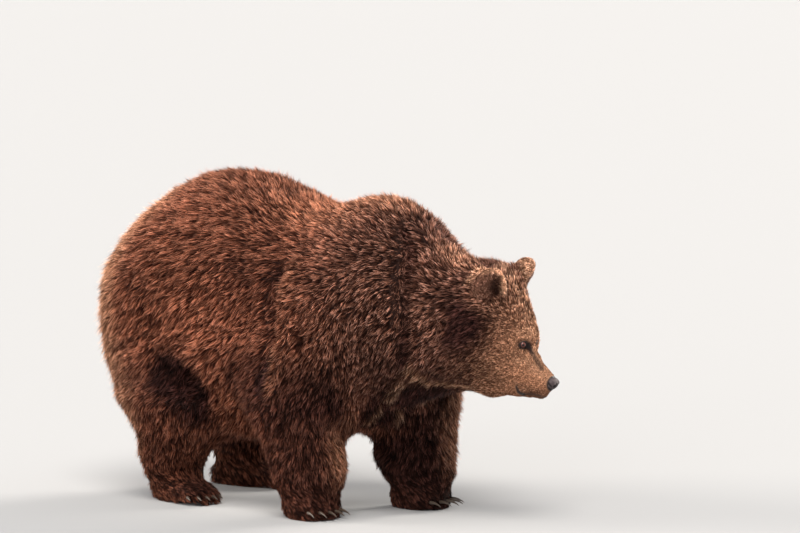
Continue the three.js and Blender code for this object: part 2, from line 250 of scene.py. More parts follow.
def wayFromHead(v):
    return np.asarray(v) @ headTurn.T


def sidePlace(q, start, side):  # across, up and out in the side view of the head, from a named place
    return (q - onSide(head[start], side)) @ onSide(head["sideWays"], side).T


def facingSide(out, side):  # how far a normal in the head's frame turns to the side view
    return out @ onSide(head["sideWays"][2], side)


# The skin: the solids of flesh wrapped in one surface
skinSettings = {
    "overlap": 1.4 * mm,
    "cell": 9.8 * mm,
    "evening": {"ear": 2, "head": 4, "lower_jaw": 4, "paw": 4, "leg_lower": 9},
    "eveningElsewhere": 22,
    "headMiddle": (60 * mm, 0, -60 * mm),  # the mesh is finer round the head, finer again at muzzle and eyes
    "headReach": 0.215,
    "sculptReach": 0.26,
    "muzzleMiddle": (0.16, 0, -0.09),
    "muzzleReach": 0.125,
    "muzzleFrom": 85 * mm,
    "eyeReach": 0.029,
    "inwardSteps": 4,
}
fleshNodes = ["trunk", "tail", "neck", "head", "lower_jaw", "ear_right", "ear_left"]
fleshNodes += [f"{kind}leg_{part}_{side}" for kind in kinds for side in sides for part in ("upper", "lower")]
fleshNodes += [f"{kind}paw_{side}" for kind in kinds for side in sides]


def isPart(parts, *words):  # where the node's name has one of the words in it
    return np.isin(parts, [i for i, node in enumerate(fleshNodes) if any(word in node for word in words)])


def forNodes(table, other):  # a table's row for each node of flesh, by a word in the node's name
    return np.array([next((v for k, v in table.items() if k in node), other) for node in fleshNodes], float)


def copyOfNodes(names, name):
    copies = []
    for number, node in enumerate(names):
        copy = newObject(name, cadNodes[node].data.copy())
        copy.data.materials.clear()
        owner = copy.data.attributes.new("fleshPart", "INT", "FACE")
        owner.data.foreach_set("value", np.full(len(copy.data.polygons), number, np.int32))
        copies.append(copy)
    pick(*copies)
    if len(copies) > 1:
        bpy.ops.object.join()
    made = active()
    editAll(bpy.ops.mesh.remove_doubles, threshold=0.05 * mm)
    made.name = name
    return made


def nearestPart(flesh, p):  # which node of flesh each point lies nearest to
    mesh = flesh.data
    owner = readRows(mesh.attributes["fleshPart"].data, "value", 1, np.int32)[:, 0]
    tree = BVHTree.FromPolygons([v.co for v in mesh.vertices], [f.vertices for f in mesh.polygons])
    return np.array([owner[tree.find_nearest(Vector(q))[2]] for q in p])


def evenOut(obj, rounds):  # smooths each point its own number of times
    pairs = edgePairs(obj)
    p = points(obj)
    for done in range(int(rounds.max())):  # a part round near its end
        p += (spread(p, pairs, 1) - p) * np.clip(rounds - done, 0, 1)[:, None]
    movePoints(obj, p)


def keepLargest(obj):
    pick(obj)
    editAll(bpy.ops.mesh.separate, type="LOOSE")
    shells = sorted(bpy.context.selected_objects, key=lambda o: len(o.data.vertices))
    for shell in shells[:-1]:
        bpy.data.objects.remove(shell)
    return shells[-1]


def brush(p, at, radius, move):  # a soft sculpting stroke: all points near "at" move
    near = distance(p, np.asarray(at) * mm) / (radius * mm)
    return dome(near)[:, None] * np.asarray(move) * mm


def nearLine(p, line):  # distance to a line of points, and how far along it
    line = np.asarray(line, float) * mm
    best, along = np.full(len(p), 9.0), np.zeros(len(p))
    for n, (a, b) in enumerate(zip(line[:-1], line[1:])):
        t = np.clip((p - a) @ (b - a) / ((b - a) @ (b - a)), 0, 1)
        d = distance(p - a, t[:, None] * (b - a))
        along = np.where(d < best, (n + t) / (len(line) - 1), along)
        best = np.minimum(best, d)
    return best, along


def nearBoth(p, line):  # the same for a line and for its mirror image
    return [nearLine(p, [(x, y * flip, z) for x, y, z in line]) for flip in (1, -1)]


# How deep the coat lies over the flesh: by node on the body, by distance from the nose on the head
coatByNode = {  # depth of skin, height of tips, length and width of locks in mm, locks for each square cm
    "trunk": (24, 24, 36, 2.8, 5.0),
    "tail": (22, 24, 40, 3.0, 4.8),
    "neck": (25, 26, 33, 2.7, 5.7),
    "ear": (2.0, 5, 11, 1.5, 22),
    "foreleg_upper": (20, 24, 35, 2.8, 5.4),
    "foreleg_lower": (8, 20, 38, 2.8, 5.8),
    "hindleg_upper": (21, 24, 37, 2.8, 5.0),
    "hindleg_lower": (8, 21, 39, 2.9, 5.6),
    "paw": (5, 8, 25, 2.4, 9),
}
coatOnHead = {  # the same, at distances from the nose in mm
    "from": (35, 90, 135, 200, 270, 340, 410),
    "depth": (0.6, 1.0, 2.0, 4.5, 8, 14, 22),
    "rise": (1.2, 1.9, 3.6, 7, 11, 17, 25),
    "length": (5, 6.5, 9, 14, 21, 29, 38),
    "width": (1.0, 1.15, 1.4, 1.7, 2.1, 2.6, 3.0),
    "perCm2": (34, 31, 25, 17, 12, 8, 6),
}
fringes = [  # lines on the right side in mm, reach, and how much longer, higher and paler the coat is there; the paleness is partly pale hair and partly painted rim light
    ([
        (465, -110, 478), (466, -100, 463), (490, -86, 446), (503, -62, 432), (522, -49, 427),
        (554, -38, 421), (583, -10, 412), (615, 20, 402),
    ], 24, 0.15, -0.35, 0.62),
    ([
        (419, -103, 436), (386, -93, 412), (328, -70, 374), (250, -40, 335), (229, -51, 305),
    ], 21, 0.2, 0.0, 0.38),
]


def coatValues(parts, p):  # depth, rise, length, width, number for each square cm
    values = forNodes(coatByNode, (0, 0, 0, 0, 0))[parts]
    fromNose = distance(toHead(p), head["nose"]) / mm
    stops, *columns = coatOnHead.values()
    onHead = np.stack([np.interp(fromNose, stops, column) for column in columns], 1)
    return np.where(isPart(parts, "head", "lower_jaw")[:, None], onHead, values)


def hangLonger(values, p, n, parts):
    (x, _, z), ahead = p.T, n[:, 0]
    legs = isPart(parts, "leg_")
    for column, shares in ((2, (0.55, 0.75, 1.0)), (1, (0.5, 0.75, 1.0))):  # shorter near the floor
        values[:, column] *= np.where(legs, np.interp(z, (0.06, 0.12, 0.22), shares), 1)
    rear = x < 0
    more = 0.35 * legs * ramp(-ahead, 0.1, 0.8) * ramp(z, 0.08, 0.2)
    more += 0.15 * ~legs * ramp(-ahead, 0.3, 0.9) * rear
    more += 0.2 * ~legs * ramp(x, 0.0, -0.3) + 0.2 * ~legs * ramp(-ahead, 0.3, 0.8) * rear
    more += 0.22 * legs * (x > 0) * ramp(ahead, 0.3, 0.9) * ramp(z, 0.08, 0.2)
    for line, reach, longer, higher, _ in fringes:
        for d, _ in nearBoth(p, line):
            near = ramp(d, 1.6 * reach * mm, 0.5 * reach * mm)
            more += longer * near
            values[:, 1] *= 1 + higher * near
    values[:, 1] *= 1 + 0.55 * more
    values[:, 2] *= 1 + more


def makeSkin():
    flesh = copyOfNodes(fleshNodes, "flesh")
    filled = copyOfNodes(fleshNodes + ["eye_right", "eye_left", "nose"], "bear_skin")
    apply(filled, "DISPLACE", strength=skinSettings["overlap"], mid_level=0)
    apply(filled, "REMESH", mode="VOXEL", voxel_size=skinSettings["cell"])
    skin = keepLargest(filled)
    skin.name = skin.data.name = "bear_skin"
    rounds = forNodes(skinSettings["evening"], skinSettings["eveningElsewhere"])
    rounds = rounds[nearestPart(flesh, points(skin))]
    evenOut(skin, spread(rounds[:, None], edgePairs(skin), 4)[:, 0])
    print("skin wrapped,", len(skin.data.polygons), "faces")

    subdivide = bpy.ops.mesh.subdivide
    reach = distance(faceMiddles(skin), fromHead(skinSettings["headMiddle"]))
    editFaces(skin, reach < skinSettings["headReach"], subdivide, number_cuts=1, smoothness=0.3)
    local = toHead(faceMiddles(skin))
    muzzle, reach = skinSettings["muzzleMiddle"], skinSettings["muzzleReach"]
    onMuzzle = (local[:, 0] > skinSettings["muzzleFrom"]) & (distance(local, muzzle) < reach)
    editFaces(skin, onMuzzle, subdivide, number_cuts=1)
    local = toHead(faceMiddles(skin))
    fromEyes = [distance(local, onSide(head["eye"], side)) for side in bothSides]
    editFaces(skin, np.min(fromEyes, axis=0) < skinSettings["eyeReach"], subdivide, number_cuts=1)
    apply(skin, "SMOOTH", factor=0.5, iterations=3)

    p = points(skin)
    parts = nearestPart(flesh, p)
    bpy.data.objects.remove(flesh)
    pairs = edgePairs(skin)
    values = spread(coatValues(parts, p), pairs, 10)
    depth = values[:, :1] * mm
    for _ in range(skinSettings["inwardSteps"]):  # inward by the coat's depth, evened as it goes
        p = points(skin)
        n = pointNormals(skin)
        onFloor = ramp(p[:, 2:], 0.004, 0.035)
        p = p - n * depth / skinSettings["inwardSteps"] * np.where(n[:, 2:] < -0.5, onFloor, 1)
        near = spread(p, pairs, 4)
        p = p + (near - p) * ramp(depth, 0.004, 0.02) * 0.7
        movePoints(skin, p)
    return skin, parts, values, pairs


# Sculpting the folds of the body and the head
bodySwells = [  # place in mm, radius, how far the skin rises there, and whether on both sides
    ((330, -40, 935), 200, 18, True),
    ((500, -30, 835), 120, 9, True),
    ((-160, -60, 960), 190, -12, True),
    ((-590, -170, 900), 210, -10, True),
    ((-650, -270, 780), 190, -6, True),
    ((108, 118, 170), 130, 24, False),
    ((-320, -195, 120), 90, 16, False),
    ((265, 260, 170), 90, -8, False),
    ((470, -80, 408), 105, -18, True),
    ((550, -10, 396), 100, -16, True),
]
bodyFolds = [  # lines on the right side in mm, reach, how far the skin sinks or rises, and how much painted shade lies there, a value under zero being a painted golden highlight
    ([  # crease of the neck, with painted shade
        (395, -57, 853), (428, -70, 809), (450, -100, 765), (459, -129, 701), (474, -141, 637),
        (473, -147, 592), (470, -143, 536), (456, -131, 493),
    ], 44, -26, 0.95),
    ([  # groove behind the shoulder, with painted shade
        (55, -249, 738), (67, -274, 696), (72, -290, 655), (102, -314, 597), (113, -326, 541),
        (104, -332, 497), (85, -337, 453), (70, -339, 404),
    ], 46, -42, 0.95),
    ([  # crest in front of the groove, with a painted golden highlight
        (135, -246, 743), (140, -275, 690), (148, -290, 640), (150, -305, 590), (146, -316, 535),
        (139, -322, 490), (124, -332, 450), (106, -337, 400),
    ], 40, 23, -0.46),
    ([(-330, -350, 430), (-262, -345, 392), (-215, -320, 345)], 80, -54, 1.0),  # crease of the thigh, with painted shade
    ([(-262, -100, 965), (-215, -140, 950)], 40, -8, 0.2),  # hollow on the rump, with painted shade
]


def sculptBody(skin):
    p = points(skin)
    n = pointNormals(skin)
    move = np.zeros(len(p))
    for line, reach, amount, _ in bodyFolds:
        for d, along in nearBoth(p, line):
            ends = 0.35 + 0.65 * np.sin(np.pi * np.clip(along, 0.06, 0.94))
            move += dome(d / (reach * mm)) * amount * mm * ends
    for at, reach, amount, both in bodySwells:
        for flip in (1, -1) if both else (1,):
            near = distance(p, onSide(at, flip) * mm) / (reach * mm)
            move += dome(near) * amount * mm / (1 + (both and abs(at[1]) < 100))
    movePoints(skin, p + n * move[:, None])


headStrokes = [  # on the left, in the head's frame in mm: a place or a line, radius, how far out
    ([(-70, 21, 84), (9, 21, 56), (63, 21, 22), (104, 21, -16)], 19, 3.5),  # beside the furrow
    ((98, 54, -16), 46, -15),  # brow
    ((129, 35, -46), 30, -13),
    ((126, 53, -64), 36, -9),
    ((165, 31, -80), 30, -4),
    ((206, 12, -80), 26, -2.5),
    ([(118, 16, -34), (150, 16, -56), (190, 16, -80)], 32, -4.6),  # bridge
    ((30, 44, 44), 55, 4),  # forehead
    ((66, 44, 18), 34, 2.5),
    ((104, 58, -52), 22, -3),  # under the eye
    ((56, 86, -6), 34, -4),  # temple
    ((66, 88, -62), 40, 4),  # cheek bone
    ((206, 22, -116), 24, 4),  # whisker pad
    ((150, 40, -112), 28, -2.5),
]
middleStrokes = [  # the same, once
    ((222, 0, -156), 30, 8),  # chin
    ((190, 0, -172), 30, 4),
    ((130, -15, -219), 46, -9),  # throat under the jaw
    ((130, 15, -219), 46, -3),
]


def sculptHead(skin):
    p = points(skin)
    local, out = toHead(p), pointNormals(skin) @ headTurn
    onHead = distance(local, skinSettings["headMiddle"]) < skinSettings["sculptReach"]
    q, out = local[onHead], out[onHead]

    def push(at, radius, amount, side=1):
        if isinstance(at, tuple):
            return brush(q, onSide(at, side), radius, 1.0) * out * amount
        d, _ = nearLine(q, [onSide(place, side) for place in at])
        return dome(d / (radius * mm))[:, None] * out * amount * mm

    move = push(head["furrow"], 15, -6)
    for side in bothSides:
        for stroke in headStrokes:
            move += push(*stroke, side)
        across, _, away = onSide(head["sideWays"], side)
        facing = facingSide(out, side)
        e = sidePlace(q, "eye", side)[:, :2]
        mine = ramp(facing, -0.1, 0.3) * ramp(q[:, 0], 0.09, 0.11)
        for line, radius, amount in ((head["streak"], 9, -5), (head["lips"], 6, -3.6)):
            d, along = nearLine(e, line)
            w = dome(d / (radius * mm)) * mine * (1 - 0.4 * along)
            move += w[:, None] * out * amount * mm
        d = distance(e, np.array(head["mouthCorner"]) * mm)
        move -= (np.clip(1 - (d / 0.011) ** 2, 0, None) * mine * 4.5 * mm)[:, None] * out
        e = sidePlace(q, "earHollow", side)
        inEar = np.hypot(e[:, 0] / 0.0135, (e[:, 1] + 0.002) / 0.031)
        deep = np.clip(1.25 - inEar, 0, 1) ** 0.7 * ramp(facing, 0.0, 0.3) * (q[:, 0] > -0.1)
        move -= 17 * mm * deep[:, None] * away
        roll = np.exp(-((inEar - 1.55) / 0.35) ** 2) * ramp(e[:, 0], -0.004, 0.01) * ramp(facing, -0.3, 0.1)
        move += roll[:, None] * (5 * across + 1.5 * away) * mm
    pull = onSide(head["sideWays"][0], -1)
    move -= brush(q, (-84, 108, 92), 44, 1.0) * pull * 20 * mm  # the left ear is turned a little back
    move += brush(q, (-36, 132, 62), 34, 1.0) * pull * 13 * mm
    move[:, 2] -= brush(q, (-56, 118, 118), 46, 1.0)[:, 0] * 7 * mm
    for stroke in middleStrokes:
        move += push(*stroke)
    q = q + move

    for side in bothSides:
        q = setLids(q, side)
    inside = distance(q, head["nose"], np.array((22.5, 24.5, 19.5)) * mm)  # drawn back under the nose pad
    shrink = np.where((inside < 1.04) & (q[:, 0] > 0.208), 0.84 / np.maximum(inside, 0.3), 1)
    q = np.array(head["nose"]) + (q - np.array(head["nose"])) * np.minimum(shrink, 1)[:, None]
    p[onHead] = fromHead(q)
    movePoints(skin, p)


lids = {
    "sink": 11 * mm,  # how far the eyeball sits behind its solid
    "sinkMoreLeft": 3 * mm,
    "look": (0.60, 0.76, 0.20),  # the way the opening faces, on the left
    "halfWide": 11.4 * mm,
    "halfHigh": 8.6 * mm,
    "thick": 1.5 * mm,
    "blendFrom": 12 * mm,
    "blendTo": 25 * mm,
}


def eyeAxes(side):
    out = unit(onSide(lids["look"], side))
    along = np.array((1, 0, -0.12))
    along = unit(along - out * (out @ along))
    up = np.cross(out, along) * -side
    return along, up * (1 if up[2] > 0 else -1), out


def eyeCenter(side):
    sink = lids["sink"] + (lids["sinkMoreLeft"] if side > 0 else 0)
    return onSide(head["eye"], side) - eyeAxes(side)[2] * sink


def eyePlace(q, side):  # across the opening, up it, and out of the head
    offset = q - eyeCenter(side)
    return np.stack([offset @ axis for axis in eyeAxes(side)], 1)


def opening(e):  # under 1 inside the almond-shaped opening between the lids
    across, up = np.abs(e[:, 0]) / lids["halfWide"], e[:, 1]
    high = lids["halfHigh"] * np.clip(1 - across ** 2.2, 0.02, 1) * np.where(up > 0, 1.0, 0.86)
    return np.maximum(across, np.abs(up) / high * 0.92)


def setLids(q, side):
    e = eyePlace(q, side)
    radius = np.linalg.norm(e, axis=1)
    flat = np.hypot(e[:, 0], e[:, 1])
    facing = e[:, 2] > -2 * mm
    gap = opening(e)
    rim = np.exp(-((gap - 1.25) / 0.28) ** 2) * 0.8 * mm
    lidRadius = head["eyeRadius"] + lids["thick"] + rim
    target = np.where(gap < 1, head["eyeRadius"] - 3.2 * mm, lidRadius)
    near = (1 - ramp(flat, lids["blendFrom"], lids["blendTo"])) * facing
    new = e / np.maximum(radius, 1e-6)[:, None] * target[:, None]
    e = e + (new - e) * near[:, None]
    along, up, out = eyeAxes(side)
    moved = e[:, :1] * along + e[:, 1:2] * up + e[:, 2:] * out + eyeCenter(side)
    return np.where((near > 0)[:, None], moved, q)


skin, fleshPart, coatSize, skinPairs = makeSkin()
sculptBody(skin)
sculptHead(skin)
print("skin finished,", len(skin.data.vertices), "points")

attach(skin, "root")
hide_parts(*fleshNodes)


# Eyes
eyeball = {
    "segments": 40,
    "rings": 28,
    "radius": head["eyeRadius"] - 0.3 * mm,
    "bulge": 0.9 * mm,  # of the clear front
    "bulgeAngle": 46,
}


def makeEye(name, side):
    center = fromHead(eyeCenter(side))
    axis = wayFromHead(eyeAxes(side)[2])
    deselectAll()
    bpy.ops.mesh.primitive_uv_sphere_add(
        segments=eyeball["segments"], ring_count=eyeball["rings"], radius=eyeball["radius"], location=center
    )
    eye = active()
    eye.rotation_euler = Vector(axis).to_track_quat("Z", "Y").to_euler()
    bpy.ops.object.transform_apply(location=True, rotation=True, scale=True)
    p = points(eye)
    ray = unit(p - center)
    fromAxis = np.degrees(np.arccos(np.clip(ray @ axis, -1, 1)))
    bulge = eyeball["bulge"] * (1 - ramp(fromAxis, 0, eyeball["bulgeAngle"]))
    movePoints(eye, p + ray * bulge[:, None])
    setMask(eye.data, "fromPupil", fromAxis)
    eye.name = eye.data.name = f"eyeball_{name}"
    bpy.ops.object.shade_smooth()
    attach(eye, "root")
    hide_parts(f"eye_{name}")
    return eye


eyes = [makeEye(name, side) for name, side in sides.items()]
print("eyes set")


# Nose
nosePad = {  # in mm, from its middle
    "cell": 1.5,
    "middle": (230, 0, -103),  # in the head's frame
    "nostril": (10.5, 2, 5.8, 4.4),  # aside, up, half width, half height
    "nostrilDepth": 7.5,
    "slitDepth": 4.5,
    "groove": (1.6, 1.4),  # depth and half width of the line between the nostrils
    "flatFrom": 5,  # how much of the tip is pressed flatter
}


def makeNose():
    nose = copyOfNodes(["nose"], "nose_pad")
    apply(nose, "REMESH", mode="VOXEL", voxel_size=nosePad["cell"] * mm)
    apply(nose, "SMOOTH", factor=0.5, iterations=6)
    aside, above, halfWide, halfHigh = nosePad["nostril"]
    grooveDepth, grooveHalf = nosePad["groove"]
    q = toHead(points(nose)) / mm - nosePad["middle"]
    x, y, z = q.T  # columns of q, changed in place
    out = pointNormals(nose) @ headTurn
    z[:] = np.where(z < -6, -6 + 0.62 * (z + 6), z)
    face = 17 - 0.30 * np.clip(6 - z, 0, None)
    x[:] = np.minimum(x, face + 0.25 * (x - face))
    x -= 0.005 * y ** 2 * (x > 6)
    hollow, move = np.zeros((2, len(q)))
    for side in bothSides:
        hole = np.hypot((y - side * aside) / halfWide, (z - above) / halfHigh)
        x -= nosePad["nostrilDepth"] * np.clip(1.3 - hole, 0, 1) ** 1.5 * (x > 2)
        slit = np.sqrt(((x - 1) / 11) ** 2 + ((z + 0.5 + 0.28 * (x - 6)) / 3.4) ** 2)
        slit = np.where(y * side > 12, slit, 9)
        move -= nosePad["slitDepth"] * np.clip(1.25 - slit, 0, 1)
        # mask of painted shade in the nostrils and slits
        hollow = np.maximum(hollow, ramp(np.minimum(slit, hole * 1.05), 1.25, 0.7))
        wing = np.hypot(y - side * 15, z - 9) / 8
        move += 1.5 * np.clip(1 - wing, 0, 1)
    move -= grooveDepth * np.exp(-(y / grooveHalf) ** 2) * (x > 0) * ramp(z, 9, 2)
    q = q + out * move[:, None]
    front = np.array((0.76, 0, 0.44)) / 0.878
    over = q @ front - ((q @ front).max() - nosePad["flatFrom"])
    q = q - np.clip(over, 0, None)[:, None] * 0.7 * front
    movePoints(nose, fromHead((q + nosePad["middle"]) * mm))
    setMask(nose.data, "nostril", hollow)
    shadeSmooth(nose)
    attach(nose, "root")
    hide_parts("nose")
    return nose


nose = makeNose()


# Claws
def makeClaw(node):
    claw = copyOfNodes([node], "horn_" + node[5:])
    apply(claw, "SUBSURF", levels=2, render_levels=2)
    shadeSmooth(claw)
    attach(claw, "root")
    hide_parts(node)
    return claw


clawNodes = [f"claw_{kind}_{side}_{n}" for kind in kinds for side in sides for n in range(1, 6)]
claws = [makeClaw(node) for node in clawNodes]
print("nose and claws made")


# The lay of the coat: values at each point of the skin
lay = {  # the way the hair runs, as (forward, sideways out, up)
    "trunk": (-1.0, 0.0, -0.55),
    "tail": (-0.5, 0.0, -1.0),
    "neck": (-0.7, 0.1, -1.0),
    "foreleg_upper": (-0.6, 0.0, -1.1),
    "foreleg_lower": (-0.28, 0.0, -1.0),
    "hindleg_upper": (-0.75, 0.0, -1.0),
    "hindleg_lower": (-0.25, 0.0, -1.0),
    "paw": (0.9, 0.0, -0.55),
}


def coatWays(parts, p, n):
    way = forNodes(lay, (0, 0, 0))[parts]
    way[:, 1] *= np.sign(p[:, 1])
    (x, _, z), (ahead, _, up), (headX, headY, headZ) = p.T, n.T, toHead(p).T
    body = isPart(parts, "trunk")
    under = ramp(-up, 0.3, 0.9)
    chest = ramp(ahead, 0.3, 0.8) * ramp(x, 0.1, 0.3) * ramp(z, 0.65, 0.5)
    levels = (0.40, 0.62, 0.78, 0.88, 1.0)
    onRump = np.interp(z, levels, (2.8, 2.3, 1.8, 1.5, 0.9))
    onFlank = np.interp(z, levels, (2.0, 1.3, 0.8, 0.6, 0.4))
    rump = ramp(-x, 0.05, 0.35)
    steep = onRump * rump + onFlank * (1 - rump)
    way[:, 2] = np.where(body, -steep * (1 - 0.6 * ramp(up, 0.5, 1.0)) - chest, way[:, 2])
    way[:, 0] = np.where(body, way[:, 0] * (1 - 0.8 * chest) * (1 - 0.3 * under), way[:, 0])
    way[:, 2] *= np.where(isPart(parts, "neck"), 1 - ramp(up, 0.0, 0.6), 1)
    behind = ramp(headX, 0.11, 0.0)
    headWay = np.full((len(p), 3), -1.0)
    headWay[:, 1] = 2.2 * headY
    headWay[:, 2] = -0.15 - 1.5 * behind * ramp(headZ, 0.04, -0.05)
    headWay[:, 2] += 0.5 * ramp(headZ, 0.0, 0.1)
    way = np.where(isPart(parts, "head", "lower_jaw")[:, None], wayFromHead(headWay), way)
    for name, side in sides.items():
        fan = wayFromHead(unit(toHead(p) - onSide(head["earRoot"], side) + np.array((0.03, 0, -0.03))))
        way = np.where(isPart(parts, f"ear_{name}")[:, None], fan, way)
    return unit(way)


def turnAbout(v, axis, angle):
    c, s = np.cos(angle)[:, None], np.sin(angle)[:, None]
    return v * c + np.cross(axis, v) * s + axis * (axis * v).sum(1, keepdims=True) * (1 - c)


def flatTo(v, n):
    return unit(v - n * (v * n).sum(1, keepdims=True))


skinPoints = points(skin)
skinNormals = pointNormals(skin)
hangLonger(coatSize, skinPoints, skinNormals, fleshPart)
skinWays = spread(coatWays(fleshPart, skinPoints, skinNormals), skinPairs, 14)


# Markings: masks over the body, the same on the skin and on the locks that grow from it. They hold the hair's
# own colouring, painted shade and painted rim light
markingNames = ("darkHairAndShade", "goldHairAndLitRim", "neckBrown", "paleHairAndLitRim", "darkSkin")
shadePatches = [((645, -86, 600), 110, 0.35), ((600, -76, 676), 90, 0.3)]  # place in mm, reach, how dark
thighCrease = [(-310, -376, 430), (-253, -357, 370), (-215, -330, 320)]
faceSpots = {  # in the side view of the head, in metres from the eye: middle and half size
    "cheek": ((-0.135, 0.085), (0.075, 0.05)),
    "mouthFleshAndGlint": ((0.001, -0.13), (0.011, 0.0065)),
    "lids": {-1: ((0.0045, -0.0005), (0.016, 0.012)), 1: ((-0.002, -0.001), (0.012, 0.0095))},
}


def earLitRim(local, isEar, side, flip):  # painted rim light: paler towards the outline of the ear in one side view or the other
    away = (local - onSide(head["earHollow"], side)) @ onSide(head["sideWays"], flip).T
    turn = ((np.arctan2(away[:, 1], away[:, 0]) / (2 * np.pi) + 0.5) * 30).astype(int)
    far = np.hypot(away[:, 0], away[:, 1])
    outline = np.zeros(32)  # how far the ear reaches, each way round
    np.maximum.at(outline, turn[isEar], far[isEar])
    return ramp(far / np.maximum(outline[turn], 0.01), 0.78, 0.94)


